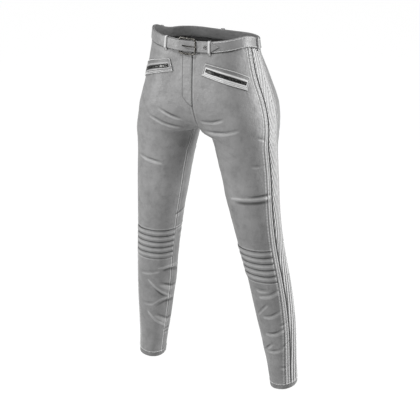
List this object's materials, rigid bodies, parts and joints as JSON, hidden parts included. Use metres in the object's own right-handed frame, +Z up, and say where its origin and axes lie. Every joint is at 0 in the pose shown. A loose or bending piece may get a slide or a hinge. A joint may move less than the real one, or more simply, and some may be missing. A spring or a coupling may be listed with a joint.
{
  "type": "leather biker trousers",
  "caption": "Close-fitting leather motorcycle trousers with ribbed knees, ribbed side panels, zip pockets and a buckled belt, filled out as worn.",
  "frame": {"origin": "centre of the waist opening, 3 mm under the waistband's top edge at the centre front, where the wearer's waist holds the trousers up", "axes": "+Z up along the body, -Y the way the front faces, +X to the wearer's left"},
  "size_m": [0.4878, 0.2514, 1.0012],
  "materials": {
    "leather": "matt grained grey cowhide",
    "belt_leather": "smooth satin grey belt leather",
    "steel": "dull nickel-plated",
    "zip_tape": "woven dark grey zip tape",
    "thread": "bonded polyester sewing thread"
  },
  "bodies": {
    "root": {"thigh_front_left": "leather", "knee_ribs_left": "leather", "shin_front_left": "leather", "side_band_front_left": "leather", "side_ribs_left": "leather", "side_band_rear_left": "leather", "back_thigh_left": "leather", "back_shin_left": "leather", "hem_band_left": "leather", "pocket_frame_left": "leather", "zip_tape_left": "zip_tape", "zip_slider_left": "steel", "thigh_front_right": "leather", "knee_ribs_right": "leather", "shin_front_right": "leather", "side_band_front_right": "leather", "side_ribs_right": "leather", "side_band_rear_right": "leather", "back_thigh_right": "leather", "back_shin_right": "leather", "hem_band_right": "leather", "pocket_frame_right": "leather", "zip_tape_right": "zip_tape", "zip_slider_right": "steel", "waistband": "leather", "belt_strap": "belt_leather", "belt_loop_front_left": "leather", "belt_loop_front_right": "leather", "belt_loop_side_left": "leather", "belt_loop_side_right": "leather", "belt_loop_back": "leather", "buckle_frame": "steel", "buckle_prong": "steel", "fly_placket": "leather"},
    "pull_left": {"zip_pull_left": "steel"},
    "pull_right": {"zip_pull_right": "steel"}
  },
  "joints": [
    {"name": "zip_pull_left_swing", "type": "hinge", "parent": "root", "child": "pull_left", "pos_m": [0.05923, -0.1214, -0.06678], "axis": [-0.1932, -0.0589, -0.9794], "range_deg": [0, 150]},
    {"name": "zip_pull_right_swing", "type": "hinge", "parent": "root", "child": "pull_right", "pos_m": [-0.05923, -0.1214, -0.06678], "axis": [-0.1932, 0.0589, 0.9794], "range_deg": [0, 150]}
  ]
}
